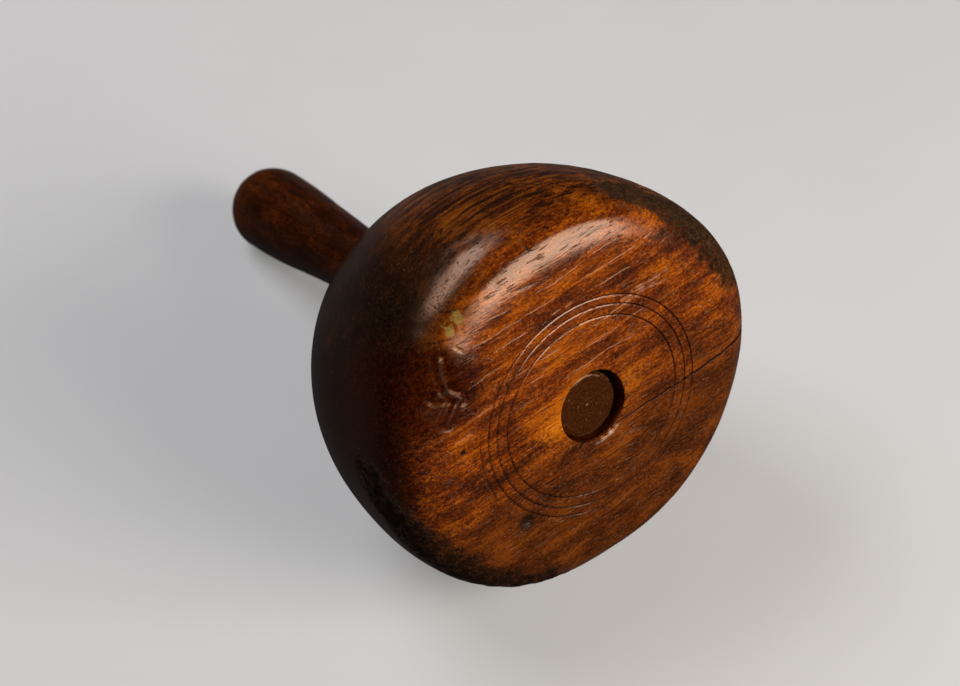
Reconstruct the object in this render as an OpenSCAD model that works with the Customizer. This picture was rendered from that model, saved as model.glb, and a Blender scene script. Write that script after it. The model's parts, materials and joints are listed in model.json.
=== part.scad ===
// Butter mold: a solid turned head with an incised print face, and a loose turned
// handle whose stem runs right through the head. It stands on its print face, with the
// handle pointing up. The head has dried oval: it is narrower across its grain (X)
// than along it (Y). Millimetres.

/* [Head] */
// Width of the head across the grain, its short diameter
head_w = 104; // [90:1:120]
// Long diameter of the head, along the grain, as a multiple of its width
head_oval = 1.07; // [1:0.01:1.1]
// Height of the head from the print face to the flat round the handle
head_h = 82; // [78:1:84]
// Width of the flat print face across the grain
face_w = 74; // [66:1:84]
// Height of the widest ring of the head above the print face
shoulder_z = 18; // [16:1:22]
// Height of the egg curve of the back, from the widest ring to its unseen tip
dome_h = 68; // [66:1:76]

/* [Bore] */
// Diameter of the bore through the head, a three-quarter inch auger hole
bore_d = 19; // [16:0.5:22]
// Worn bevel at each mouth of the bore
bore_bevel = 0.5; // [0.2:0.1:1]

/* [Print rings] */
// Radii of the turned rings, across the grain
ring_radii = [23.5, 26.3, 28.6];
// Width of each ring's groove
ring_w = 0.6; // [0.4:0.1:1]
// Depth of each ring's groove
ring_depth = 0.5; // [0.3:0.1:1]

/* [Handle] */
// Top of the handle above the print face, which is the whole length of the mold
handle_top = 168.5; // [155:0.5:185]
// How far the end of the stem lies inside the print face
stem_recess = 2; // [0:0.5:5]
// Radial gap between the stem and the bore
stem_gap = 0.75; // [0.3:0.05:1]
// Widest diameter of the grip, near its end
grip_d = 25; // [23:0.5:30]
// Height at which the stem begins to swell into the grip
swell_z = 90; // [85:1:100]
// Worn bevel at the end of the stem
stem_bevel = 0.8; // [0.4:0.1:1.5]

/* [Hidden] */

head_r = head_w / 2;
face_r = face_w / 2;
corner_r = head_r - face_r;
bore_r = bore_d / 2;
stem_r = bore_r - stem_gap;
grip_r = grip_d / 2;
// Height of the grip's widest ring, where its domed end begins
grip_z = handle_top - grip_r;
// Extra length of a cutting body past the surface that it cuts
cut = 1;
// Points along the swell of the handle
swell_steps = 14;
smooth = 128;

// Half of the head's outline, from its axis out: the egg curve above the widest ring, a
// quarter of a small ellipse below it, and a block between that reaches past the face
module head_outline() {
    intersection() {
        translate([0, shoulder_z])
            scale([1, dome_h / head_r])
                circle(r = head_r, $fn = smooth);
        translate([0, shoulder_z])
            square([head_r, head_h - shoulder_z]);
    }
    intersection() {
        translate([face_r, shoulder_z])
            scale([1, shoulder_z / corner_r])
                circle(r = corner_r, $fn = smooth);
        translate([face_r, 0])
            square([corner_r, shoulder_z]);
    }
    translate([0, -cut])
        square([face_r, shoulder_z + cut]);
}

// One quarter of the turned head, drawn out along the grain to the oval
module head_quarter(start) {
    scale([1, head_oval, 1])
        rotate_extrude(angle = 90, start = start, $fn = smooth)
            head_outline();
}

// One turned ring: a V-shaped groove in the print face, oval like the head
module ring_groove(radius) {
    scale([1, head_oval, 1])
        rotate_extrude($fn = smooth)
            polygon([
                [radius - ring_w / 2, -cut],
                [radius - ring_w / 2, 0],
                [radius, ring_depth],
                [radius + ring_w / 2, 0],
                [radius + ring_w / 2, -cut]
            ]);
}

// The bore, round and straight, with a bevel at both mouths
module bore() {
    translate([0, 0, -cut])
        cylinder(r = bore_r, h = head_h + 2 * cut, $fn = smooth);
    cylinder(r1 = bore_r + bore_bevel, r2 = bore_r, h = bore_bevel, $fn = smooth);
    translate([0, 0, head_h - bore_bevel])
        cylinder(r1 = bore_r, r2 = bore_r + bore_bevel, h = bore_bevel, $fn = smooth);
}

module head() {
    color("saddlebrown")
        difference() {
            for (start = [0:90:270])
                head_quarter(start);
            // The print face is planed flat
            translate([0, 0, -2 * cut])
                cylinder(r = head_w, h = 2 * cut, $fn = smooth);
            for (radius = ring_radii)
                ring_groove(radius);
            bore();
        }
}

// Points of the swell: a smooth rise from the stem's radius to the grip's
function swell_points() = [
    for (i = [0:swell_steps])
        let (t = i / swell_steps)
        [stem_r + (grip_r - stem_r) * (1 - cos(180 * t)) / 2, swell_z + (grip_z - swell_z) * t]
];

module handle() {
    color("sienna")
        rotate_extrude($fn = smooth) {
            // The stem and the swell of the grip
            polygon(concat(
                [[0, stem_recess], [stem_r - stem_bevel, stem_recess]],
                [[stem_r, stem_recess + stem_bevel]],
                swell_points(),
                [[0, grip_z]]
            ));
            // The domed end of the grip
            intersection() {
                translate([0, grip_z])
                    circle(r = grip_r, $fn = smooth);
                translate([0, grip_z])
                    square([grip_r, grip_r]);
            }
        }
}

head();
handle();
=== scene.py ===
"""The looks of a butter mold: a turned, dried-oval wooden head and its loose turned handle.

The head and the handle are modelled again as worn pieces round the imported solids, with procedural
wood. Lengths in the tables below are millimetres in the frame of the CAD: the print face is at
z = 0, the handle points to +Z, the grain of the head runs near +Y. Blender works in metres.
"""
import json
import math
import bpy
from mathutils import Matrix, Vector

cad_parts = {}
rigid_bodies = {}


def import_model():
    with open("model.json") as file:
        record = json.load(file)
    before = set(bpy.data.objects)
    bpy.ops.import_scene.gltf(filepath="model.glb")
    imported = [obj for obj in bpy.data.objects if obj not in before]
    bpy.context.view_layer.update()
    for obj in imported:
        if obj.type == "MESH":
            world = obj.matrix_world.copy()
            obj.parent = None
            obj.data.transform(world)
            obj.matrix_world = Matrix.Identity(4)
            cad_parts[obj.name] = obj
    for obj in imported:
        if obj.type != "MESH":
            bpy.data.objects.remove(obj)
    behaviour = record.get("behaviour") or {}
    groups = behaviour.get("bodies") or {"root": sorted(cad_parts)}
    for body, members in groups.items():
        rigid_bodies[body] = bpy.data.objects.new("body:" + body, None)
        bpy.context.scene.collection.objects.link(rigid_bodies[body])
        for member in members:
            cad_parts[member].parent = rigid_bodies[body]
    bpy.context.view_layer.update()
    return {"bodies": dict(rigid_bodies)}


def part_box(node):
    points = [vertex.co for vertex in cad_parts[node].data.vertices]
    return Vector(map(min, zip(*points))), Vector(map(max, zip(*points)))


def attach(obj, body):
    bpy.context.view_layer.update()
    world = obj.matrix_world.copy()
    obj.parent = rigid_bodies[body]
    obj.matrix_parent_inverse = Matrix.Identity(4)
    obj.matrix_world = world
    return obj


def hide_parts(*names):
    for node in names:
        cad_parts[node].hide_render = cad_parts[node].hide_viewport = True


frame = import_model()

from types import SimpleNamespace

import bpy
import numpy as np
from mathutils import Matrix, Vector, noise

MM = 0.001

# --------------------------------------------------------------------------- sizes, in mm
_, head_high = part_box("head")
handle_low, handle_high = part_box("handle")

HEAD_R = head_high.x / MM
OVAL = head_high.y / head_high.x
HEAD_H = head_high.z / MM
GRIP_R = handle_high.x / MM
HANDLE_TOP = handle_high.z / MM
STEM_END = handle_low.z / MM

# Radii and heights of the turned shapes, and of the rings on the print face
FACE_R = 41.5
SHOULDER_Z = 16.5
DOME_H = 68.0
BORE_R = 9.5
BORE_BEVEL = 0.5
STEM_R = 8.75
SWELL_Z = 92.0
GRIP_Z = HANDLE_TOP - GRIP_R
RINGS = (23.5, 26.3, 28.6)
FAINT_RING = 30.75

# The print face wears round before its edge: a bevel first, then the corner proper
BEVEL_R = 47.4
BEVEL_Z = 2.6

# Average width of a growth ring of the head
RING_WIDTH = 4.2

# The head was turned a little off the middle of its bore
OFF_CENTRE_Y = -0.6

# A chamfer worn along one side of the face: its tilt, its depth and the softness of its edges
CHAMFER_TILT = math.radians(40.0)
CHAMFER_DEPTH = 2.4
CHAMFER_SOFT = 1.0

# Angle of the grain on the print face, from +X
GRAIN_ANGLE = math.radians(77.7)

CHECK_PATH = ((-7.7, 5.6), (-4.9, 17.1), (-2.4, 29.9), (1.6, 46.0), (3.0, 60.0))

# The scar of a knot on the shoulder, as strokes of split wood
KNOT = Vector((19.5, -44.0, 2.0))
KNOT_STROKES = (
    ((26.6, -41.0, 1.9), (23.2, -40.8, 1.5), (19.4, -40.0, 1.0)),
    ((17.4, -42.8, 2.2), (18.6, -40.4, 1.0), (16.4, -37.2, 0.0)),
    ((16.4, -37.2, 0.0), (14.3, -39.1, 0.0), (11.3, -41.3, 0.0)),
)

# Fresh gouges along the grain, and old nicks in the shoulder that hold dirt
FRESH_GOUGES = (
    ((25.4, 9.9, 0.0), (26.8, 17.0, 0.0), (29.0, 23.9, 0.0)),
    ((24.2, 10.4, 0.0), (26.6, 19.6, 0.0)),
    ((26.9, 13.2, 0.0), (28.6, 21.4, 0.0)),
    ((4.8, -39.5, 0.0), (6.1, -35.2, 0.0)),
    ((29.2, -37.1, 1.1), (27.8, -35.5, 0.5)),
)
OLD_NICKS = (
    ((44.5, -6.2, 1.4), (45.1, 0.5, 1.5), (45.4, 7.6, 2.1)),
    ((46.6, -14.1, 3.2), (44.5, -14.0, 1.9)),
    ((41.2, -25.4, 2.6), (39.6, -24.0, 1.6)),
    ((37.8, -19.6, 0.6), (38.3, -14.4, 0.3)),
    ((-17.6, -13.0, 0.0), (-18.8, -10.4, 0.0)),
)

# Small marks on the face and specks of old paint on the shoulder
SMALL_KNOT = Vector((-23.6, -21.6, 0.0))
WORM_HOLE = Vector((2.0, -37.7, 0.0))
PAINT_SPECKS = (Vector((35.4, -34.6, 2.9)), Vector((32.9, -37.0, 2.8)))

# Two stretches of the edge of the face: weathered end grain, and a gnawed and charred rim
WEATHERED_EDGE = (
    (48.5, 18.0, 10.0),
    (44.0, 25.0, 7.5),
    (37.5, 33.0, 5.5),
    (29.5, 39.5, 4.5),
    (20.0, 45.0, 5.0),
)
CHARRED_EDGE = (
    (-4.0, -56.0, 14.0),
    (-16.0, -51.0, 7.5),
    (-26.0, -46.0, 4.5),
    (-37.0, -35.5, 3.5),
    (-43.5, -24.5, 3.0),
    (-46.0, -15.0, 4.5),
)

# Where the finish is rubbed through at both ends of the bore, in grain coordinates, and how much
GOLDEN_SPOTS = (((1.0, -12.0, 0.0), 0.68), ((0.5, 11.5, 0.0), 0.38))

# The lip of the bore is worn to a slope on one side, at this angle in degrees
LIP_ANGLE = 150.0
LIP_WIDTH = 1.0
LIP_DEPTH = 0.42

# Turned rings: the depth of a groove, the widths of its inner and outer slopes, and half the
# width of the dirt in it; then the faint outermost ring
RING_DEPTH = 0.21
RING_INNER = 0.50
RING_OUTER = 0.20
RING_DIRT = 0.17
FAINT_RING_DEPTH = 0.12
FAINT_RING_HALF = 0.26

# The check: its depth, half its width at the bore, and how much wider it is at the edge
CHECK_DEPTH = 0.9
CHECK_HALF = 0.17
CHECK_OPENS = 0.13

# Depths of the smaller marks
KNOT_HOLLOW = 0.50
KNOT_RIM = 0.22
KNOT_RIDGE = 0.20
KNOT_SPLIT = 0.26
GOUGE_DEPTH = 0.20
GOUGE_HALF = 0.45
SMALL_KNOT_DEPTH = 0.45
WORM_HOLE_DEPTH = 0.5
WEATHERED_DEPTH = 0.10
CHARRED_DEPTH = 0.30

# Wear of the handle: hollows of the grip, and how far the end of the stem has warped along X and Y
GRIP_WEAR = 0.30
STEM_WARP = 0.42

# Columns of points round the head and the handle
HEAD_COLUMNS = 312
HANDLE_COLUMNS = 176
# The check's own columns: the angle that they start from, and their places in steps from there
CHECK_COLUMN = math.radians(90.0)
CHECK_STEP = 0.0045
CHECK_COLUMNS = (-6.0, -4.0, -2.6, -1.6, -0.8, 0.0, 0.8, 1.6, 2.6, 4.0, 6.0)
# The knot's closer columns, half the angle that they cover, and the gap to the next column
KNOT_COLUMNS = 66
KNOT_WINDOW = 0.32
COLUMN_GAP = 0.008


# --------------------------------------------------------------------------- mesh tools
def smooth_step(edge0, edge1, x):
    """0 below edge0, 1 above edge1, and a smooth rise between them."""
    t = np.clip((np.asarray(x, float) - edge0) / (edge1 - edge0), 0.0, 1.0)
    return t * t * (3.0 - 2.0 * t)


def field(points, size, stretch=(1.0, 1.0, 1.0), shift=0.0):
    """Perlin noise from -1 to 1 at each point, with features of about the given size."""
    scaled = points * (np.array(stretch) / size) + shift
    return np.array([noise.noise(p) for p in scaled.reshape(-1, 3)]).reshape(points.shape[:-1])


def steps(start, stop, step):
    """Values from start up to, but not including, stop, about step apart."""
    count = max(1, round(abs(stop - start) / step))
    return list(np.linspace(start, stop, count, endpoint=False))


def distance_to_path(points, path):
    """Distance from each point to a path of straight stretches."""
    nearest = np.full(points.shape[:-1], 1e9)
    for a, b in zip(path[:-1], path[1:]):
        a, b = np.array(a, float), np.array(b, float)
        along = np.clip(((points - a) @ (b - a)) / ((b - a) @ (b - a)), 0.0, 1.0)
        gap = points - (a + along[..., None] * (b - a))
        nearest = np.minimum(nearest, np.linalg.norm(gap, axis=-1))
    return nearest


def grid_normals(grid, ring):
    """Unit normals of a turned grid of points, rows along the outline and columns around it."""
    around = np.roll(grid, -1, axis=1) - np.roll(grid, 1, axis=1)
    if ring:
        along = np.roll(grid, -1, axis=0) - np.roll(grid, 1, axis=0)
    else:
        along = np.gradient(grid, axis=0)
    normals = np.cross(around, along)
    length = np.linalg.norm(normals, axis=-1, keepdims=True)
    return normals / np.maximum(length, 1e-12)


def turned_object(name, grid, dirt, ring):
    """A closed mesh from a grid of points in mm, with the dirt at each point, from 0 to 1, as an
    attribute. A ring closes on itself like a doughnut, and any other grid closes with a point
    at each end."""
    rows, columns = grid.shape[:2]
    vertices = grid.reshape(-1, 3) * MM
    index = np.arange(rows * columns).reshape(rows, columns)
    across = np.roll(index, -1, axis=1)
    if ring:
        below, below_across = np.roll(index, -1, axis=0), np.roll(across, -1, axis=0)
    else:
        below, below_across = index[1:], across[1:]
        index, across = index[:-1], across[:-1]
    quads = np.stack([index, across, below_across, below], axis=-1).reshape(-1, 4)
    faces = quads.tolist()
    if not ring:
        ends = grid[[0, -1]].mean(axis=1) * MM
        vertices = np.vstack([vertices, ends])
        last = (rows - 1) * columns
        for k in range(columns):
            after = (k + 1) % columns
            faces.append((after, k, rows * columns))
            faces.append((last + k, last + after, rows * columns + 1))
    mesh = bpy.data.meshes.new(name)
    mesh.from_pydata(vertices.tolist(), [], faces)
    shares = np.zeros(len(vertices))
    shares[: dirt.size] = dirt.ravel()
    mesh.attributes.new("dirt", "FLOAT", "POINT").data.foreach_set("value", shares)
    mesh.shade_smooth()
    piece = bpy.data.objects.new(name, mesh)
    bpy.context.scene.collection.objects.link(piece)
    return piece


def bezier(p0, p1, p2, p3, count):
    """Points along a cubic curve, without its last one."""
    t = np.linspace(0.0, 1.0, count, endpoint=False)[:, None]
    p0, p1, p2, p3 = (np.array(p, float) for p in (p0, p1, p2, p3))
    curve = p0 * (1 - t) ** 3 + 3 * p1 * t * (1 - t) ** 2 + 3 * p2 * t * t * (1 - t) + p3 * t**3
    return [tuple(p) for p in curve]


# --------------------------------------------------------------------------- the head
def dome_r(z):
    """Radius of the back of the head at height z."""
    return HEAD_R * np.sqrt(1.0 - ((z - SHOULDER_Z) / DOME_H) ** 2)


def head_outline():
    """Radius and height along the head: out over the face, up the side and down the bore."""
    # The face, with close rows over the lip and the rings
    ring_low, ring_high = RINGS[0] - 0.8, FAINT_RING + 0.8
    lip_r = BORE_R + BORE_BEVEL + LIP_WIDTH
    radii = steps(BORE_R + BORE_BEVEL, lip_r, 0.3) + steps(lip_r, ring_low, 0.9)
    radii += steps(ring_low, ring_high, 0.13)
    radii += steps(ring_high, FACE_R - 4.0, 0.6)
    points = [(r, 0.0) for r in radii]

    # The edge, the shoulder and the dome
    bevel, shoulder = (BEVEL_R, BEVEL_Z), (HEAD_R, SHOULDER_Z)
    points += bezier((FACE_R - 4.0, 0.0), (FACE_R - 1.0, 0.0), (FACE_R + 2.5, 0.7), bevel, 20)
    points += bezier(bevel, (BEVEL_R + 2.6, BEVEL_Z + 2.0), (HEAD_R, 8.5), shoulder, 30)
    top_z = HEAD_H - 1.2
    for z in steps(SHOULDER_Z, 40.0, 0.8) + steps(40.0, 60.0, 1.2) + steps(60.0, top_z, 0.9):
        points.append((float(dome_r(z)), z))

    # The small flat at the top and the bore
    rim_r = float(dome_r(top_z))
    points += bezier(
        (rim_r, top_z), (rim_r - 0.5, HEAD_H - 0.2), (rim_r - 1.4, HEAD_H), (rim_r - 3.0, HEAD_H), 8
    )
    points += [(r, HEAD_H) for r in steps(rim_r - 3.0, BORE_R + BORE_BEVEL, 1.0)]
    points += bezier(
        (BORE_R + BORE_BEVEL, HEAD_H),
        (BORE_R + 0.1, HEAD_H),
        (BORE_R, HEAD_H - 0.1),
        (BORE_R, HEAD_H - BORE_BEVEL),
        4,
    )
    down_bore = steps(HEAD_H - BORE_BEVEL, 12.0, 3.2) + steps(12.0, BORE_BEVEL, 0.8)
    points += [(BORE_R, z) for z in down_bore]
    points += bezier(
        (BORE_R, BORE_BEVEL), (BORE_R, 0.12), (BORE_R + 0.12, 0.0), (BORE_R + BORE_BEVEL, 0.0), 5
    )
    return np.array(points)


def head_angles():
    """Angles of the columns: closer together at the knot, and very close at the check."""
    angles = np.linspace(-math.pi, math.pi, HEAD_COLUMNS, endpoint=False)
    knot_angle = math.atan2(KNOT.y, KNOT.x)
    knot_side = np.linspace(-KNOT_WINDOW, KNOT_WINDOW, KNOT_COLUMNS)
    angles = angles[np.abs(angles - knot_angle) > KNOT_WINDOW + COLUMN_GAP]
    check_side = CHECK_STEP * np.array(CHECK_COLUMNS)
    angles = angles[np.abs(angles - CHECK_COLUMN) > check_side[-1] + 0.5 * CHECK_STEP]
    return np.sort(np.concatenate([angles, knot_angle + knot_side, CHECK_COLUMN + check_side]))


def check_angle(radius):
    """Angle at which the check crosses a circle of this radius, on the head before it went oval."""
    path = np.array(CHECK_PATH)
    y = np.linspace(path[0, 1], path[-1, 1], 400)
    x = np.interp(y, path[:, 1], path[:, 0]) + 0.12 * np.sin(y * 0.9) + 0.06 * np.sin(y * 2.3)
    r = np.hypot(x, y / OVAL)
    return np.interp(radius, r, np.arctan2(y / OVAL, x))


def head_grid():
    """The worn head as a grid of points in mm, and the dirt at each of them."""
    outline = head_outline()
    angles = head_angles()
    radius, height = outline[:, 0], outline[:, 1]

    # The columns near the check turn with it, row by row; up the side and the bore they run straight
    reach = np.where(height > BEVEL_Z, HEAD_R, np.maximum(radius, BORE_R))
    reach = np.where((height > 1.0) & (radius <= BORE_R + 0.01), BORE_R, reach)
    away = (angles - CHECK_COLUMN + math.pi) % (2 * math.pi) - math.pi
    window = 1.0 - smooth_step(0.0, 2.0, np.abs(away))
    theta = angles[None, :] + window[None, :] * (check_angle(reach) - CHECK_COLUMN)[:, None]

    # The rows are round at the bore and oval outside it
    oval = 1.0 + (OVAL - 1.0) * smooth_step(BORE_R + BORE_BEVEL, 20.0, radius)
    grid = np.stack(
        [
            radius[:, None] * np.cos(theta),
            (radius * oval)[:, None] * np.sin(theta),
            np.broadcast_to(height[:, None], theta.shape),
        ],
        axis=-1,
    )
    outside = smooth_step(RINGS[-1], FACE_R, radius)[:, None]
    outside = np.where(height[:, None] > BEVEL_Z, radius[:, None] > BORE_R + 2.0, outside)
    grid[..., 1] += OFF_CENTRE_Y * outside
    grid = grid + worn_edge(radius, height, theta)
    normals = grid_normals(grid, ring=True)
    rise, dirt = head_relief(grid, radius, height, theta, away)
    return grid + normals * rise[..., None], dirt


def worn_edge(radius, height, theta):
    """The edge of the face is worn to a steeper chamfer along the side opposite the broad bevel."""
    turned = np.degrees(theta) % 360.0
    worn = smooth_step(55.0, 125.0, turned) * (1.0 - smooth_step(166.0, 214.0, turned))
    out, down = math.cos(CHAMFER_TILT), math.sin(CHAMFER_TILT)
    reach = (radius * out - height * down)[:, None]
    stands_out = BEVEL_R * out - BEVEL_Z * down
    over = reach - (stands_out - CHAMFER_DEPTH)
    soft = 0.5 * (over + np.sqrt(over * over + CHAMFER_SOFT**2))
    cut = worn * soft * (radius > RINGS[-1])[:, None] * (height < 30.0)[:, None]
    return np.stack([-out * cut * np.cos(theta), -out * cut * np.sin(theta), down * cut], axis=-1)


def head_relief(grid, radius, height, theta, away):
    """How far the worn surface stands above (+) or below (-) the turned head, and how much dirt
    its narrow marks hold."""
    r = radius[:, None]
    z = height[:, None]
    rings, ring_dirt = ring_grooves(grid, r, z, theta)
    split, split_dirt = check_split(r, z, away)
    rise = hand_wear(grid, r, z, theta) + knot_scar(grid) + rough_edges(grid)
    rise -= rings + split + small_marks(grid) + worn_lip(grid, r, z, theta)
    return rise, np.maximum(ring_dirt, split_dirt)


def hand_wear(grid, r, z, theta):
    """Slow swellings, more of them on the shoulder and the side, and raised and sunken fibres."""
    outside = smooth_step(BORE_R + 1.5, BORE_R + 6.0, r)
    shoulder = smooth_step(38.0, 46.0, r)
    side = smooth_step(3.0, 12.0, z) * outside
    rise = outside * 0.08 * field(grid, 19.0)
    rise += shoulder * 0.14 * field(grid, 14.0, shift=3.1)
    rise += side * 0.30 * field(grid, 26.0, shift=7.7)
    rise += outside * 0.012 * field(grid, 1.5, stretch=(1.0, 0.07, 1.0), shift=1.3)
    fibrous = smooth_step(0.55, 0.95, np.cos(theta - 0.1)) * side * (1.0 - smooth_step(38.0, 60.0, z))
    rise += fibrous * 0.16 * field(grid, 2.2, stretch=(1.0, 0.06, 1.0), shift=5.2)
    return rise


def ring_grooves(grid, r, z, theta):
    """Depth of the turned rings, a little uneven and rubbed away on one side, and their dirt."""
    turned = np.degrees(theta) % 360.0
    rubbed_and_glint_side = smooth_step(75.0, 110.0, turned) * (1.0 - smooth_step(175.0, 205.0, turned))
    uneven = (1.0 + 0.35 * field(grid, 9.0, shift=11.0)) * (1.0 - 0.55 * rubbed_and_glint_side)
    patchy = 1.0 - rubbed_and_glint_side * (0.35 + 0.45 * field(grid, 2.4, shift=14.0))
    face = (z < 0.01) & (r > BORE_R + BORE_BEVEL)
    depth = np.zeros(uneven.shape)
    dirt = np.zeros(uneven.shape)
    for ring_r in RINGS:
        inner = np.clip((r - ring_r + RING_INNER) / RING_INNER, 0.0, 1.0)
        outer = np.clip((ring_r + RING_OUTER - r) / RING_OUTER, 0.0, 1.0)
        depth += face * RING_DEPTH * uneven * np.minimum(inner, outer)
        line = np.clip(1.5 - np.abs(r - ring_r - 0.05) / RING_DIRT, 0.0, 1.0)
        dirt = np.maximum(dirt, face * line * patchy)
    arc = smooth_step(-2.15, -1.95, theta) * (1.0 - smooth_step(-1.55, -1.35, theta))
    faint = face * arc * np.clip(1.0 - np.abs(r - FAINT_RING) / FAINT_RING_HALF, 0.0, 1.0)
    return depth + FAINT_RING_DEPTH * faint, np.maximum(dirt, 0.8 * faint)


def check_split(r, z, away):
    """Depth of the check, which opens towards the edge and closes up the side, and its dirt."""
    gap = np.abs(away) * np.maximum(r, BORE_R)
    half_width = CHECK_HALF + CHECK_OPENS * smooth_step(20.0, 50.0, r)
    open_here = smooth_step(BORE_R + 0.2, BORE_R + 2.0, r) * (1.0 - smooth_step(14.0, 34.0, z))
    depth = open_here * CHECK_DEPTH * np.clip(1.0 - gap / half_width, 0.0, 1.0)
    return depth, open_here * np.clip(2.0 - gap / half_width, 0.0, 1.0)


def knot_scar(grid):
    """The knot's scar: a hollow crossed by split ridges."""
    from_knot = np.linalg.norm(grid - np.array(KNOT), axis=-1)
    rise = KNOT_RIM * (1.0 - smooth_step(1.5, 6.0, np.abs(from_knot - 9.5)))
    rise -= KNOT_HOLLOW * (1.0 - smooth_step(2.0, 9.0, from_knot))
    for stroke in KNOT_STROKES:
        gap = distance_to_path(grid, stroke) + 0.25 * field(grid, 2.5)
        rise += KNOT_RIDGE * (1.0 - smooth_step(0.0, 0.8, gap))
        rise -= KNOT_SPLIT * (1.0 - smooth_step(0.3, 1.1, np.abs(gap - 1.5)))
    near = 1.0 - smooth_step(6.0, 12.0, from_knot)
    return rise + near * 0.12 * field(grid, 2.4, shift=4.0)


def small_marks(grid):
    """Depth of the gouges, the nicks, the small knot and the worm hole."""
    depth = np.zeros(grid.shape[:2])
    for gouge in FRESH_GOUGES + OLD_NICKS:
        gap = distance_to_path(grid, gouge) + 0.12 * field(grid, 1.6, shift=6.0)
        depth += GOUGE_DEPTH * np.clip(1.0 - gap / GOUGE_HALF, 0.0, 1.0)
    pits = ((SMALL_KNOT, SMALL_KNOT_DEPTH, 0.4, 2.2), (WORM_HOLE, WORM_HOLE_DEPTH, 0.3, 0.9))
    for centre, pit_depth, floor_r, rim_r in pits:
        gap = np.linalg.norm(grid - np.array(centre), axis=-1)
        depth += pit_depth * (1.0 - smooth_step(floor_r, rim_r, gap))
    return depth


def worn_lip(grid, r, z, theta):
    """Depth of the slope that one side of the bore's lip is worn to."""
    from_lip = np.abs((np.degrees(theta) % 360.0 - LIP_ANGLE + 180.0) % 360.0 - 180.0)
    lip = 1.0 - smooth_step(12.0, 48.0, from_lip)
    lip = lip * (z < 0.5) * np.clip((BORE_R + BORE_BEVEL + LIP_WIDTH - r) / LIP_WIDTH, 0.0, 1.0)
    return LIP_DEPTH * lip * (1.0 + 0.4 * field(grid, 1.6, shift=13.0))


def rough_edges(grid):
    """Rough end grain along one stretch of the edge, and a gnawed rim along another."""
    rise = np.zeros(grid.shape[:2])
    for path, depth in ((WEATHERED_EDGE, WEATHERED_DEPTH), (CHARRED_EDGE, CHARRED_DEPTH)):
        near = 1.0 - smooth_step(3.0, 10.0, distance_to_path(grid, path))
        rise += near * depth * (field(grid, 1.8, shift=8.0) + 0.8 * field(grid, 5.0, shift=2.0) - 0.3)
    return rise


# --------------------------------------------------------------------------- the handle
def handle_outline():
    """Radius and height along the handle, from the end of its stem to the tip of its grip."""
    points = [(r, STEM_END) for r in steps(0.15, 7.2, 0.35)]
    points += bezier(
        (7.2, STEM_END), (8.1, STEM_END), (STEM_R, STEM_END + 0.4), (STEM_R, STEM_END + 1.5), 8
    )
    points += [(STEM_R, z) for z in steps(STEM_END + 1.5, SWELL_Z, 2.0)]
    for z in steps(SWELL_Z, GRIP_Z, 1.0):
        t = (z - SWELL_Z) / (GRIP_Z - SWELL_Z)
        points.append((STEM_R + (GRIP_R - STEM_R) * (1.0 - math.cos(math.pi * t)) / 2.0, z))
    for a in np.linspace(0.0, math.radians(89.2), 34):
        points.append((GRIP_R * math.cos(a), GRIP_Z + GRIP_R * math.sin(a)))
    return np.array(points)


def handle_grid():
    """The worn handle as a grid of points in mm."""
    outline = handle_outline()
    angles = np.linspace(0.0, 2.0 * math.pi, HANDLE_COLUMNS, endpoint=False)
    radius, height = outline[:, 0], outline[:, 1]
    grid = np.stack(
        [
            radius[:, None] * np.cos(angles)[None, :],
            radius[:, None] * np.sin(angles)[None, :],
            np.broadcast_to(height[:, None], (len(radius), len(angles))),
        ],
        axis=-1,
    )
    normals = grid_normals(grid, ring=False)
    r, z = radius[:, None], height[:, None]

    # Hand wear of the grip, and fine fibres along the stem
    grip = smooth_step(SWELL_Z + 10.0, SWELL_Z + 40.0, z)
    rise = grip * GRIP_WEAR * (field(grid, 16.0, shift=9.0) - 1.0)
    rise += grip * 0.07 * field(grid, 3.0, shift=2.4)
    rise += 0.03 * field(grid, 1.2, stretch=(1.0, 1.0, 0.08), shift=6.0)

    # The end of the stem: tool marks, a nub left at the centre and a bruised edge
    end = z < STEM_END + 0.01
    rise = np.where(end, 0.008 * np.sin(r * 5.5) + 0.30 * np.exp(-((r / 0.45) ** 2)), rise)
    bruise = (z < STEM_END + 1.5) & (r > 6.0)
    rise = rise + bruise * 0.12 * field(grid, 1.8, shift=3.0)
    grid = grid + normals * rise[..., None]

    # The stem has warped, so its end stands off the centre of the bore
    warp = (1.0 - smooth_step(STEM_END, 60.0, z)) * np.ones_like(angles)[None, :]
    grid[..., 0] -= STEM_WARP * warp
    grid[..., 1] -= STEM_WARP * warp
    return grid, np.zeros(warp.shape)


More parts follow.
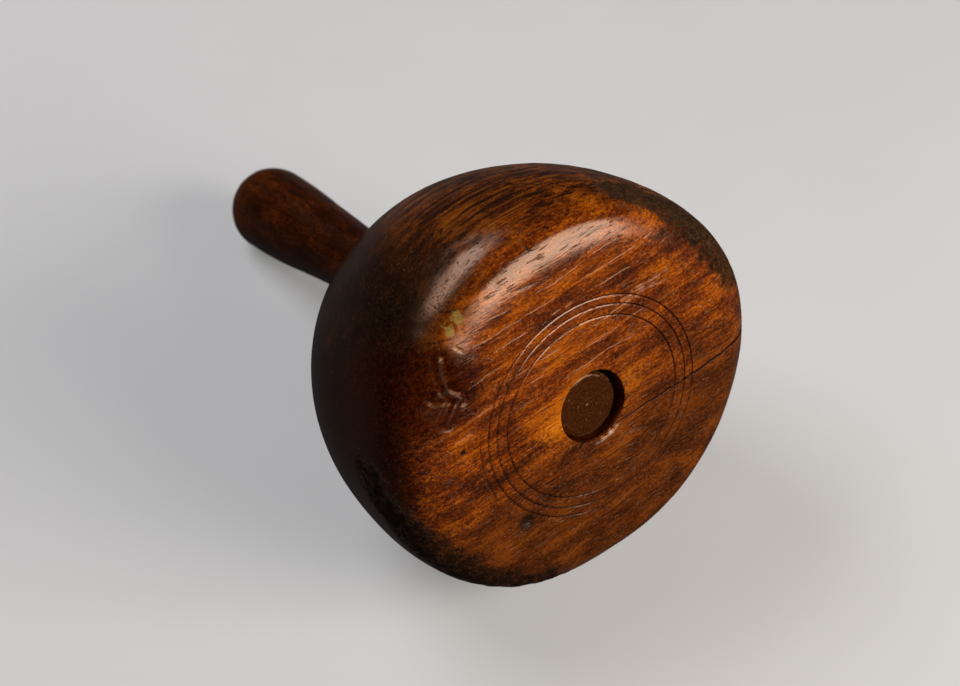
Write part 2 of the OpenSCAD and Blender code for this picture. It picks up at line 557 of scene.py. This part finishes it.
# --------------------------------------------------------------------------- material tools
class Wood:
    """A node material with short calls for the nodes that wood needs. Lengths are mm."""

    def __init__(self, name):
        self.material = bpy.data.materials.new(name)
        self.material.use_nodes = True
        self.tree = self.material.node_tree
        self.tree.nodes.clear()
        place = self.node("ShaderNodeTexCoord").outputs["Object"]
        self.place = self.vector("MULTIPLY", place, (1.0 / MM,) * 3)

    def node(self, kind, **settings):
        """Adds a node with these settings."""
        made = self.tree.nodes.new(kind)
        for key, value in settings.items():
            setattr(made, key, value)
        return made

    def feed(self, socket, value):
        """Links a socket to an input, or sets the input to a plain value."""
        if isinstance(value, bpy.types.NodeSocket):
            self.tree.links.new(value, socket)
        elif value is not None:
            socket.default_value = value

    def vector(self, operation, a, b=None):
        n = self.node("ShaderNodeVectorMath", operation=operation)
        self.feed(n.inputs[0], a)
        if b is not None:
            self.feed(n.inputs[1], b)
        return n.outputs["Value" if operation in ("LENGTH", "DISTANCE", "DOT_PRODUCT") else "Vector"]

    def math(self, operation, a, b=None, clamp=False):
        n = self.node("ShaderNodeMath", operation=operation, use_clamp=clamp)
        self.feed(n.inputs[0], a)
        if b is not None:
            self.feed(n.inputs[1], b)
        return n.outputs[0]

    def plus(self, a, b):
        return self.math("ADD", a, b)

    def minus(self, a, b):
        return self.math("SUBTRACT", a, b)

    def times(self, a, b):
        return self.math("MULTIPLY", a, b)

    def split(self, vector):
        n = self.node("ShaderNodeSeparateXYZ")
        self.feed(n.inputs[0], vector)
        return n.outputs

    def tone(self, parts):
        """A value about 0.5: the sum of noises, each with its own contrast."""
        total = 0.5
        for noise_value, contrast in parts:
            swing = self.times(self.minus(noise_value, 0.5), contrast)
            total = self.plus(total, swing)
        return total

    def noise(self, place, stretch, detail=3.0, roughness=0.55):
        """Noise from 0 to 1; stretch is features per mm along each axis."""
        n = self.node("ShaderNodeTexNoise", noise_dimensions="3D")
        self.feed(n.inputs["Vector"], self.vector("MULTIPLY", place, stretch))
        for key, value in (("Scale", 1.0), ("Detail", detail), ("Roughness", roughness)):
            n.inputs[key].default_value = value
        return n.outputs["Fac"]

    def step(self, value, low, high, bottom=0.0, top=1.0):
        """A smooth step from bottom at low to top at high."""
        n = self.node("ShaderNodeMapRange", interpolation_type="SMOOTHSTEP")
        for key, number in ((0, value), (1, low), (2, high), (3, bottom), (4, top)):
            self.feed(n.inputs[key], number)
        return n.outputs[0]

    def spot(self, place, centre, inner, outer, squash=(1.0, 1.0, 1.0)):
        """1 within inner of a point and 0 beyond outer; squash stretches the distance by axis."""
        gap = self.vector("SUBTRACT", place, tuple(centre))
        gap = self.vector("LENGTH", self.vector("MULTIPLY", gap, squash))
        return self.step(gap, inner, outer, 1.0, 0.0)

    def near_path(self, place, path, inner, outer):
        """1 within inner of a path of straight stretches and 0 beyond outer."""
        nearest = None
        for a, b in zip(path[:-1], path[1:]):
            a, way = Vector(a), Vector(b) - Vector(a)
            share = self.vector("DOT_PRODUCT", self.vector("SUBTRACT", place, tuple(a)), tuple(way))
            share = self.math("DIVIDE", share, way.length_squared, clamp=True)
            foot = self.vector("ADD", tuple(a), self.vector("MULTIPLY", tuple(way), share))
            gap = self.vector("DISTANCE", place, foot)
            nearest = gap if nearest is None else self.math("MINIMUM", nearest, gap)
        return self.step(nearest, inner, outer, 1.0, 0.0)

    def ramp(self, value, stops):
        """A colour that runs through the stops, each one a position and a colour."""
        n = self.node("ShaderNodeValToRGB")
        elements = n.color_ramp.elements
        while len(elements) < len(stops):
            elements.new(0.5)
        for element, (position, colour) in zip(elements, stops):
            element.position = position
            element.color = (*colour, 1.0)
        self.feed(n.inputs["Fac"], value)
        return n.outputs["Color"]

    def mix(self, share, a, b):
        """A colour between a and b: b's share runs from 0 to 1."""
        n = self.node("ShaderNodeMix", data_type="RGBA")
        self.feed(n.inputs["Factor"], share)
        for socket, value in ((n.inputs[6], a), (n.inputs[7], b)):
            self.feed(socket, (*value, 1.0) if isinstance(value, tuple) else value)
        return n.outputs[2]

    def bump(self, height):
        """A normal for a fine relief, whose height is in mm."""
        n = self.node("ShaderNodeBump")
        n.inputs["Distance"].default_value = MM
        self.feed(n.inputs["Height"], height)
        return n.outputs["Normal"]

    def finish(self, colour, roughness, normal, tint, shine=0.5):
        """The surface: an oiled wood whose shine takes the colour of its old finish."""
        shader = self.node("ShaderNodeBsdfPrincipled")
        self.feed(shader.inputs["Base Color"], colour)
        self.feed(shader.inputs["Roughness"], roughness)
        self.feed(shader.inputs["Normal"], normal)
        self.feed(shader.inputs["Specular IOR Level"], shine)
        self.feed(shader.inputs["Specular Tint"], (*tint, 1.0) if isinstance(tint, tuple) else tint)
        out = self.node("ShaderNodeOutputMaterial")
        self.tree.links.new(shader.outputs[0], out.inputs["Surface"])
        return self.material


# --------------------------------------------------------------------------- woods
# Linear colours of what wear and age have laid on the wood or laid bare, and of painted light
AMBER = (0.48, 0.115, 0.0016)
GOLD = (0.74, 0.220, 0.0080)
# Ochre streaks of the grain, painted only on the side towards the light, so partly painted light
OCHRE = (0.300, 0.0860, 0.0040)
OPEN_FIBRE = (0.010, 0.0036, 0.0014)
PORE_DIRT = (0.020, 0.0046, 0.0012)
LINE_DIRT = (0.015, 0.0042, 0.0014)
GROOVE_DIRT = (0.008, 0.0024, 0.0012)
NICK_DIRT = (0.012, 0.0040, 0.0020)
# Painted glint: pale colour for the growth lines where they catch the light
PAINTED_GLINT = (0.240, 0.1000, 0.0500)
TORN_FIBRE = (0.340, 0.1600, 0.0850)
SCAR = (0.060, 0.0360, 0.0230)
KNOT_DARK = (0.012, 0.0050, 0.0020)
HOLE_DARK = (0.006, 0.0020, 0.0010)
SWELL_SPOT = (0.009, 0.0026, 0.0010)
CHIP = (0.220, 0.1150, 0.0600)
FLECK = (0.150, 0.0800, 0.0450)

# Tints of the shine: over the bare face, over the dark patina, and on the handle
FACE_TINT = (1.0, 0.70, 0.51)
PATINA_TINT = (1.0, 0.50, 0.26)
HANDLE_TINT = (1.0, 0.50, 0.24)


def head_fields(w):
    """What the layers of the head's wood share: the place, the grain and the noises."""
    p = w.place
    x, y, z = w.split(p)

    # Grain coordinates: y runs along the grain, and the fibres swerve a little
    turn = w.node("ShaderNodeVectorRotate", rotation_type="Z_AXIS")
    w.feed(turn.inputs["Vector"], p)
    turn.inputs["Angle"].default_value = math.pi / 2.0 - GRAIN_ANGLE
    swerve = w.minus(w.noise(p, (0.04, 0.018, 0.04), detail=2.0), 0.5)
    grain = w.vector("ADD", turn.outputs[0], w.vector("MULTIPLY", (2.6, 0.0, 2.0), swerve))
    cloud = w.noise(p, (0.075, 0.06, 0.075), detail=3.0, roughness=0.5)

    # Growth rings, round a pith far from the face: each one starts with a broken line of pores
    from_pith = w.vector("SUBTRACT", grain, (-70.0, 0.0, 30.0))
    age = w.vector("LENGTH", w.vector("MULTIPLY", from_pith, (1.0, 0.0, 1.0)))
    age = w.plus(w.times(age, 2.0 * math.pi / RING_WIDTH), w.times(cloud, 5.0))
    ring = w.math("SINE", age)
    broken = w.step(w.noise(grain, (0.30, 0.095, 0.30), detail=3.0), 0.46, 0.55)

    return SimpleNamespace(
        p=p,
        x=x,
        y=y,
        z=z,
        grain=grain,
        cloud=cloud,
        ring=ring,
        line=w.times(w.step(ring, 0.955, 0.995), broken),
        streak=w.noise(grain, (0.50, 0.020, 0.50), detail=5.0, roughness=0.66),
        fibre=w.noise(grain, (3.4, 0.16, 3.4), detail=3.0, roughness=0.65),
        patch=w.noise(grain, (0.16, 0.07, 0.16), detail=4.0, roughness=0.6),
        fleck=w.noise(p, (1.3, 0.85, 1.3), detail=4.0, roughness=0.75),
        grit=w.noise(p, (4.5, 3.0, 4.5), detail=2.0, roughness=0.7),
        pore=w.step(w.noise(grain, (2.6, 0.20, 2.6), detail=1.0), 0.61, 0.68),
    )


def bare_wood(w, f):
    """The red-brown wood itself."""
    parts = [(f.streak, 0.8), (f.fibre, 0.7), (f.cloud, 0.8), (f.patch, 1.3), (f.fleck, 1.3)]
    tone = w.tone(parts + [(f.grit, 1.1)])
    return w.ramp(
        w.plus(tone, w.times(f.ring, 0.05)),
        [
            (0.08, (0.020, 0.0036, 0.0006)),
            (0.36, (0.078, 0.0125, 0.0008)),
            (0.56, (0.165, 0.0280, 0.0011)),
            (0.84, (0.400, 0.0930, 0.0022)),
        ],
    )


def wear_face(w, f, colour):
    """Worn amber round the bore, drawn out along the grain, and a duller lower part."""
    glow = w.spot(f.grain, (0.5, -5.0, 0.0), 7.0, 21.0, (1.9, 0.80, 1.0))
    worn = w.tone([(f.streak, 1.4), (f.cloud, 2.0), (f.fleck, 1.6), (f.grit, 1.2)])
    glow = w.times(glow, w.step(worn, 0.26, 0.86))
    colour = w.mix(w.times(glow, 0.8), colour, AMBER)
    for place, share in GOLDEN_SPOTS:
        gold = w.spot(f.grain, place, 0.5, 5.0, (1.0, 0.8, 1.0))
        gold = w.times(gold, w.step(f.fleck, 0.28, 0.66))
        colour = w.mix(w.times(gold, share), colour, GOLD)

    low = w.minus(f.x, w.times(f.y, 0.3))
    low = w.step(w.plus(low, w.times(w.plus(f.streak, f.cloud), 14.0)), 22.0, -6.0)
    dull = w.tone([(f.patch, 1.6), (f.fibre, 0.8), (f.fleck, 1.0), (f.grit, 1.0)])
    dull = w.mix(w.step(dull, 0.15, 0.90), (0.018, 0.0042, 0.0007), (0.115, 0.0265, 0.0020))
    return w.mix(w.times(low, 0.78), colour, dull)


def darken_back(w, f, colour):
    """The dark patina over the back and the sides. As painted light, it is thinner on the side
    towards the light, where ochre streaks, partly painted light, and dark open fibres show. It also
    returns the patina's share."""
    # Painted light: the side towards the light, where the patina is painted thinner
    painted_light_side = w.step(w.plus(f.x, w.times(f.y, 0.6)), 12.0, 40.0)
    painted_light_side = w.times(w.step(f.x, 14.0, 44.0), painted_light_side)
    behind = w.step(w.plus(f.z, w.times(f.cloud, 12.0)), 7.5, 15.0)
    dark_tone = w.noise(f.grain, (0.20, 0.06, 0.20), detail=7.0, roughness=0.75)
    dark_tone = w.tone([(dark_tone, 1.7), (f.fleck, 0.9), (f.grit, 0.6)])
    dark = w.ramp(
        dark_tone,
        [
            (0.20, (0.0045, 0.0016, 0.0005)),
            (0.60, (0.0140, 0.0042, 0.0008)),
            (0.98, (0.0750, 0.0175, 0.0012)),
        ],
    )
    thin = w.step(w.tone([(f.patch, 0.8), (f.streak, 1.2), (dark_tone, 0.4)]), 0.36, 0.80)
    thin = w.times(thin, w.step(f.x, 5.0, -20.0))
    shade = w.times(behind, w.minus(1.0, w.times(painted_light_side, 0.72)))
    shade = w.times(shade, w.minus(1.0, w.times(thin, 0.45)))
    colour = w.mix(shade, colour, dark)

    # Ochre streaks of the grain only on the side towards the light, partly painted light; the dark
    # open fibres there are the wood's own
    streaked = w.times(painted_light_side, w.step(f.z, 3.0, 12.0))
    fibres = w.noise(f.grain, (0.60, 0.018, 0.60), detail=5.0, roughness=0.70)
    ochre = w.times(w.step(fibres, 0.46, 0.34), streaked)
    colour = w.mix(w.times(ochre, 0.55), colour, OCHRE)
    open_fibres = w.times(w.step(fibres, 0.50, 0.57), streaked)
    return w.mix(w.times(open_fibres, 0.9), colour, OPEN_FIBRE), shade


def fill_pores(w, f, colour):
    """Dirt in the pores and along the growth lines, with a painted glint along the lines on the side
    of the face where they catch the light. It also returns that place.
    """
    # The part of the face where the growth lines catch the light and get a painted glint
    rubbed_and_glint_side = w.times(w.step(f.x, 4.0, 14.0), w.step(f.z, 1.2, 0.6))
    rubbed_and_glint_side = w.times(rubbed_and_glint_side, w.step(w.minus(f.y, f.x), 8.0, -14.0))
    colour = w.mix(w.times(f.pore, 0.55), colour, PORE_DIRT)
    # Painted glint: pale growth lines in that part, dark dirt in them elsewhere
    line_dirt_and_glint = w.mix(rubbed_and_glint_side, LINE_DIRT, PAINTED_GLINT)
    return w.mix(w.times(f.line, 0.75), colour, line_dirt_and_glint), rubbed_and_glint_side


def stain_knots_shade_shoulder(w, f, colour):
    """Dark red round the knot, painted shade in dark red along the shoulder beside it on the side
    away from the light, the small knot and a worm hole.
    """
    patchy = w.noise(f.p, (0.22, 0.22, 0.22), detail=5.0, roughness=0.65)
    # Painted shade: dark red along the shoulder on the side away from the light
    shoulder_shade = w.step(w.plus(f.y, w.times(w.plus(patchy, f.fleck), 12.0)), -31.0, -40.0)
    shoulder_shade = w.times(shoulder_shade, w.times(w.step(f.x, 33.0, 24.0), w.step(f.z, 36.0, 12.0)))
    knot = w.spot(f.p, KNOT, 8.5, 14.5, (1.0, 0.8, 0.9))
    knot = w.times(knot, w.step(patchy, 0.16, 0.34))
    red = w.mix(w.step(f.fleck, 0.38, 0.66), (0.008, 0.0009, 0.0003), (0.044, 0.0045, 0.0005))
    colour = w.mix(w.times(w.math("MAXIMUM", shoulder_shade, knot), 0.90), colour, red)
    for stroke in KNOT_STROKES:
        ridge = w.near_path(f.p, stroke, 0.15, 0.60)
        colour = w.mix(w.times(ridge, 0.5), colour, SCAR)
    colour = w.mix(w.times(w.spot(f.p, SMALL_KNOT, 0.8, 3.6), 0.9), colour, KNOT_DARK)
    return w.mix(w.spot(f.p, WORM_HOLE, 0.4, 1.1), colour, HOLE_DARK)


def colour_cuts(w, f, colour):
    """Pale torn fibre in the fresh gouges, and dirt in the old nicks."""
    torn = w.step(w.noise(f.grain, (2.2, 0.45, 2.2), detail=3.0), 0.42, 0.62)
    for gouge in FRESH_GOUGES:
        cut = w.math("MULTIPLY", w.near_path(f.p, gouge, 0.15, 0.50), torn, clamp=True)
        colour = w.mix(cut, colour, TORN_FIBRE)
    for nick in OLD_NICKS:
        colour = w.mix(w.times(w.near_path(f.p, nick, 0.12, 0.34), 0.9), colour, NICK_DIRT)
    return colour


def age_edges(w, f, colour):
    """Grey-brown weathered end grain, and a charred rim. It also returns where both are."""
    crust = w.noise(f.p, (0.40, 0.40, 0.40), detail=7.0, roughness=0.75)
    weathered = w.near_path(f.p, WEATHERED_EDGE, 1.0, 10.0)
    weathered = w.step(w.tone([(weathered, 1.0), (crust, 2.8), (f.fleck, 1.4)]), 0.45, 0.85)
    grey = w.mix(w.step(f.fleck, 0.35, 0.70), (0.008, 0.0046, 0.0022), (0.060, 0.0330, 0.0140))
    colour = w.mix(w.times(weathered, 0.9), colour, grey)
    charred = w.near_path(f.p, CHARRED_EDGE, 2.0, 9.5)
    charred = w.step(w.tone([(charred, 1.0), (crust, 3.2), (f.fleck, 1.8)]), 0.55, 0.95)
    black = w.mix(w.step(f.fleck, 0.54, 0.70), (0.0078, 0.0028, 0.0010), (0.090, 0.0360, 0.0100))
    return w.mix(w.times(charred, 0.94), colour, black), w.math("MAXIMUM", weathered, charred)


def speck_with_paint(w, f, colour):
    """Specks of old paint."""
    paint = w.noise(f.p, (0.8, 0.8, 0.8), detail=5.0, roughness=0.75)
    pigment = w.mix(f.fleck, (0.10, 0.065, 0.008), (0.40, 0.300, 0.080))
    for place in PAINT_SPECKS:
        speck = w.spot(f.p, place, 0.0, 3.6, (1.0, 1.2, 0.8))
        speck = w.step(w.tone([(paint, 4.0), (speck, 1.6)]), 0.60, 1.10)
        colour = w.mix(w.times(speck, 0.75), colour, pigment)
    return colour


def head_wood():
    """Open-grained wood under an old patina: amber by the bore, red-brown on the face, almost
    black over the back, with painted light on its side towards the light and painted shade on the
    shoulder away from it."""
    w = Wood("head_wood")
    f = head_fields(w)
    colour = wear_face(w, f, bare_wood(w, f))
    colour, shade = darken_back(w, f, colour)
    colour, rubbed_and_glint_side = fill_pores(w, f, colour)
    colour = colour_cuts(w, f, stain_knots_shade_shoulder(w, f, colour))
    colour, crusty = age_edges(w, f, colour)
    colour = speck_with_paint(w, f, colour)
    dirt = w.node("ShaderNodeAttribute", attribute_name="dirt").outputs["Fac"]
    colour = w.mix(w.times(dirt, 0.94), colour, GROOVE_DIRT)

    roughness = w.plus(0.14, w.times(f.fleck, 0.14))
    roughness = w.plus(roughness, w.times(crusty, 0.32))
    groove = w.times(f.line, w.plus(w.times(rubbed_and_glint_side, 0.7), 0.3))
    groove = w.math("MAXIMUM", f.pore, groove)
    height = w.minus(w.times(f.fibre, 0.030), w.times(groove, 0.045))
    height = w.plus(height, w.times(f.fleck, w.plus(0.020, w.times(crusty, 0.6))))

    # The crust, the dirt, the knot and the pores shine less
    near_knot = w.times(w.spot(f.p, KNOT, 6.0, 13.0), 0.8)
    dry = w.math("MAXIMUM", near_knot, w.times(f.pore, 0.8))
    dry = w.math("MAXIMUM", w.math("MAXIMUM", crusty, dirt), dry)
    shine = w.minus(0.5, w.times(dry, 0.42))
    tint = w.mix(w.math("MAXIMUM", shade, near_knot), FACE_TINT, PATINA_TINT)
    return w.finish(colour, roughness, w.bump(height), tint, shine)


def handle_wood():
    """Dark, close-grained wood with a faint swirled figure, worn orange at the tip."""
    w = Wood("handle_wood")
    p = w.place
    x, _, z = w.split(p)
    swirl = w.minus(w.noise(p, (0.10, 0.10, 0.05), detail=3.0), 0.5)
    grain = w.vector("ADD", p, w.vector("MULTIPLY", (7.0, 7.0, 4.0), swirl))
    figure = w.noise(grain, (0.45, 0.45, 0.06), detail=5.0, roughness=0.6)
    fibre = w.noise(grain, (2.6, 2.6, 0.35), detail=4.0, roughness=0.7)
    cloud = w.noise(p, (0.12, 0.12, 0.12), detail=5.0, roughness=0.65)
    grit = w.noise(p, (2.4, 2.4, 2.4), detail=4.0, roughness=0.75)
    tone = w.tone([(figure, 1.0), (fibre, 1.1), (cloud, 0.8), (grit, 1.3)])
    colour = w.ramp(
        tone,
        [
            (0.10, (0.006, 0.0010, 0.0002)),
            (0.42, (0.023, 0.0033, 0.0003)),
            (0.62, (0.054, 0.0082, 0.0004)),
            (0.92, (0.150, 0.0300, 0.0010)),
        ],
    )
    tip = w.step(w.plus(z, w.times(cloud, 14.0)), HANDLE_TOP - 16.0, HANDLE_TOP + 4.0)
    worn = w.mix(w.step(grit, 0.3, 0.7), (0.050, 0.0095, 0.0006), (0.190, 0.0480, 0.0024))
    colour = w.mix(w.times(tip, 0.45), colour, worn)
    spots = w.noise(p, (0.24, 0.24, 0.24), detail=5.0, roughness=0.65)
    spots = w.times(w.step(spots, 0.58, 0.68), w.step(z, SWELL_Z, SWELL_Z + 30.0))
    colour = w.mix(w.times(spots, 0.8), colour, SWELL_SPOT)

    # End grain of the stem: umber, with faint rings left by the lathe and chips round its edge
    end = w.step(z, STEM_END + 1.6, STEM_END + 0.6)
    from_axis = w.vector("LENGTH", w.vector("MULTIPLY", p, (1.0, 1.0, 0.0)))
    lathe = w.plus(0.5, w.times(w.math("SINE", w.times(from_axis, 4.5)), 0.5))
    umber = w.mix(w.times(lathe, 0.35), (0.048, 0.0102, 0.0009), (0.098, 0.0230, 0.0020))
    umber = w.mix(w.step(grit, 0.40, 0.60), umber, (0.015, 0.0040, 0.0009))
    chips = w.times(w.step(from_axis, 5.0, 8.4), w.step(x, -2.0, 5.0))
    ragged = w.noise(p, (1.5, 1.5, 0.2), detail=3.0)
    chips = w.step(w.tone([(chips, 0.8), (spots, 0.4), (ragged, 2.0)]), 0.72, 0.92)
    umber = w.mix(w.times(chips, 0.7), umber, CHIP)
    flecks = w.step(w.noise(p, (1.1, 1.1, 0.2), detail=1.0), 0.70, 0.76)
    umber = w.mix(w.times(flecks, 0.6), umber, FLECK)
    colour = w.mix(end, colour, umber)
    roughness = w.plus(0.16, w.times(cloud, 0.18))
    height = w.plus(w.times(fibre, 0.03), w.times(grit, 0.03))
    return w.finish(colour, roughness, w.bump(height), HANDLE_TINT)


def floor_finish():
    """A plain pale floor. It returns little light to the mold, as a larger, darker room would."""
    w = Wood("floor")
    cloud = w.noise(w.place, (0.01, 0.01, 0.01), detail=4.0)
    colour = w.mix(cloud, (0.38, 0.375, 0.37), (0.43, 0.425, 0.42))
    seen = w.node("ShaderNodeLightPath").outputs["Is Camera Ray"]
    colour = w.mix(seen, (0.075, 0.070, 0.065), colour)
    made = w.finish(colour, 0.9, None, (1.0, 1.0, 1.0), shine=0.0)
    shader = next(n for n in w.tree.nodes if n.type == "BSDF_PRINCIPLED")
    shader.inputs["Emission Color"].default_value = (1.0, 0.98, 0.96, 1.0)
    w.feed(shader.inputs["Emission Strength"], w.times(seen, FLOOR_LIFT))
    return made


# --------------------------------------------------------------------------- pieces
head = turned_object("worn_head", *head_grid(), ring=True)
head.data.materials.append(head_wood())
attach(head, "head")
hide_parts("head")

handle = turned_object("worn_handle", *handle_grid(), ring=False)
handle.data.materials.append(handle_wood())
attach(handle, "handle")
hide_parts("handle")


# --------------------------------------------------------------------------- studio
# The mold lies on its side for the camera: the handle dips, and the axis is rolled a little
LIE_DIP = math.radians(17.4)
LIE_ROLL = math.radians(-7.3)
CAMERA_ELEVATION = math.radians(46.3)
CAMERA_HEADING = math.radians(-36.2)
CAMERA_DISTANCE = 530.0 * MM
CAMERA_LENS = 82.5
CAMERA_AIM = Vector((15.5, -17.6, 20.8)) * MM
LIGHT_DISTANCE = 0.9
# Strength of the air's own light, of the backdrop that the camera sees and of the floor's lift
AIR_GLOW = 0.022
BACKDROP = 0.5
FLOOR_LIFT = 0.22
# Half the side of the floor, in metres
FLOOR_HALF = 8.0
# Ends of the handle's slide, in metres
HANDLE_SLIDE = (-0.022, 0.060)
# Distance over which the studio changes from the main view to any other, in metres
NEAR = 0.02


def lying_axes():
    """Up, towards the handle and across, for the table under the lying mold."""
    up = Vector(
        (
            math.cos(LIE_DIP) * math.cos(LIE_ROLL),
            math.cos(LIE_DIP) * math.sin(LIE_ROLL),
            -math.sin(LIE_DIP),
        )
    )
    along = (Vector((0.0, 0.0, 1.0)) - up * up.z).normalized()
    return along, up.cross(along), up


def lowest(piece, up):
    """The point of the piece that reaches furthest down."""
    points = np.empty(len(piece.data.vertices) * 3)
    piece.data.vertices.foreach_get("co", points)
    points = points.reshape(-1, 3)
    return Vector(points[(points @ np.array(up)).argmin()])


def studio_light(name, azimuth, elevation, size, watts, colour, parent):
    """A soft rectangular light that faces the middle of the mold."""
    lamp = bpy.data.lights.new(name, "AREA")
    lamp.shape = "RECTANGLE"
    lamp.size, lamp.size_y = size
    lamp.energy = watts
    lamp.color = colour
    light = bpy.data.objects.new(name, lamp)
    bpy.context.scene.collection.objects.link(light)
    a, e = math.radians(azimuth), math.radians(elevation)
    way = Vector((math.cos(e) * math.cos(a), math.cos(e) * math.sin(a), math.sin(e)))
    light.parent = parent
    light.location = way * LIGHT_DISTANCE + Vector((0.0, 0.0, HEAD_R * MM))
    light.rotation_mode = "QUATERNION"
    light.rotation_quaternion = way.to_track_quat("Z", "Y")


def follow(owner, path, kind, targets, curve, transform=None):
    """Drives a value from a distance or a place. The curve lists (input, value) pairs, whose
    inputs are at least 0.01 apart, as Blender merges closer keys."""
    fcurve = owner.driver_add(path) if isinstance(path, str) else owner.driver_add(*path)
    drive = fcurve.driver
    drive.type = "SUM"
    variable = drive.variables.new()
    variable.type = kind
    for target, source in zip(variable.targets, targets):
        target.id = source
        if transform:
            target.transform_type = transform
    for modifier in list(fcurve.modifiers):
        fcurve.modifiers.remove(modifier)
    fcurve.keyframe_points.add(len(curve))
    for key, (given, value) in zip(fcurve.keyframe_points, curve):
        key.co = (given, value)
        key.interpolation = "LINEAR"
    fcurve.update()


def empty(name, parent=None):
    """A place that other objects follow."""
    made = bpy.data.objects.new(name, None)
    bpy.context.scene.collection.objects.link(made)
    made.parent = parent
    return made


def floor(name, parent, material):
    """A wide square floor at the height of its parent."""
    corners = [(-1, -1), (1, -1), (1, 1), (-1, 1)]
    mesh = bpy.data.meshes.new(name)
    mesh.from_pydata([(u * FLOOR_HALF, v * FLOOR_HALF, 0.0) for u, v in corners], [], [(0, 1, 2, 3)])
    made = bpy.data.objects.new(name, mesh)
    made.data.materials.append(material)
    made.parent = parent
    bpy.context.scene.collection.objects.link(made)
    return made


along, across, up = lying_axes()
head_rest, handle_rest = lowest(head, up), lowest(handle, up)

camera = bpy.data.objects.new("camera", bpy.data.cameras.new("camera"))
bpy.context.scene.collection.objects.link(camera)
bpy.context.scene.camera = camera
ahead = along * math.cos(CAMERA_HEADING) + across * math.sin(CAMERA_HEADING)
forward = ahead * math.cos(CAMERA_ELEVATION) - up * math.sin(CAMERA_ELEVATION)
right = forward.cross(up).normalized()
camera.matrix_world = Matrix.Translation(CAMERA_AIM - forward * CAMERA_DISTANCE) @ Matrix(
    (right, right.cross(forward), -forward)
).transposed().to_4x4()
camera.data.lens = CAMERA_LENS
camera.data.clip_start = 0.01
camera.data.dof.use_dof = True
camera.data.dof.focus_object = empty("focus")
camera.data.dof.focus_object.location = CAMERA_AIM
camera.data.dof.aperture_fstop = 22.0
main_view = empty("main_view")
main_view.location = camera.location

# The table touches the head; it tips about that place as the handle slides, because the mold
# lies on its grip as well
table = empty("table")
table.matrix_world = Matrix.Translation(head_rest) @ Matrix((along, across, up)).transposed().to_4x4()
tipped = empty("tipped_table", table)
reach = (handle_rest - head_rest).dot(along)
tips = []
for slide in (HANDLE_SLIDE[0], 0.0, HANDLE_SLIDE[1]):
    tips.append((slide, math.atan2(slide * math.sin(LIE_DIP), reach + slide * math.cos(LIE_DIP))))
handle_body = frame["bodies"]["handle"]
follow(tipped, ("rotation_euler", 1), "TRANSFORMS", [handle_body], tips, "LOC_Z")

# The lights turn with the view: round the table for the main camera, and round the upright mold
# for any other view, which has a level ground under the print face unless it looks from below
studio = empty("studio")
turn = studio.constraints.new("COPY_TRANSFORMS")
turn.target = tipped
follow(turn, "influence", "LOC_DIFF", [camera, main_view], [(0.0, 1.0), (NEAR, 0.0)])

pale = floor_finish()
table_floor = floor("table_floor", tipped, pale)
ground = floor("ground", None, pale)
follow(table_floor, "hide_render", "LOC_DIFF", [camera, main_view], [(0.0, 0.0), (NEAR, 1.0)])
follow(ground, "hide_render", "TRANSFORMS", [camera], [(-NEAR, 1.0), (0.0, 0.0)], "LOC_Z")
stem_recess = STEM_END * MM
lowered = [(HANDLE_SLIDE[0], HANDLE_SLIDE[0] + stem_recess), (-stem_recess, 0.0)]
follow(ground, ("location", 2), "TRANSFORMS", [handle_body], lowered, "LOC_Z")

studio_light(
    "key_light",
    azimuth=-154.0,
    elevation=27.0,
    size=(0.66, 0.42),
    watts=11.5,
    colour=(1.0, 0.93, 0.85),
    parent=studio,
)
studio_light(
    "sky_light",
    azimuth=25.0,
    elevation=54.0,
    size=(0.60, 0.32),
    watts=5.3,
    colour=(0.90, 0.92, 1.0),
    parent=studio,
)
# Under the floor: it reaches the mold only when a view from below hides the floor
studio_light(
    "under_light",
    azimuth=180.0,
    elevation=-70.0,
    size=(0.9, 0.9),
    watts=9.0,
    colour=(1.0, 0.97, 0.94),
    parent=studio,
)

# A pale backdrop that gives little light
world = bpy.data.worlds.new("studio_air")
world.use_nodes = True
nodes = world.node_tree.nodes
nodes["Background"].inputs["Color"].default_value = (0.95, 0.95, 1.0, 1.0)
seen = nodes.new("ShaderNodeLightPath").outputs["Is Camera Ray"]
glare = nodes.new("ShaderNodeMapRange")
glare.inputs["To Min"].default_value = AIR_GLOW
glare.inputs["To Max"].default_value = BACKDROP
world.node_tree.links.new(seen, glare.inputs["Value"])
world.node_tree.links.new(glare.outputs["Result"], nodes["Background"].inputs["Strength"])
bpy.context.scene.world = world
bpy.context.scene.view_settings.view_transform = "Standard"
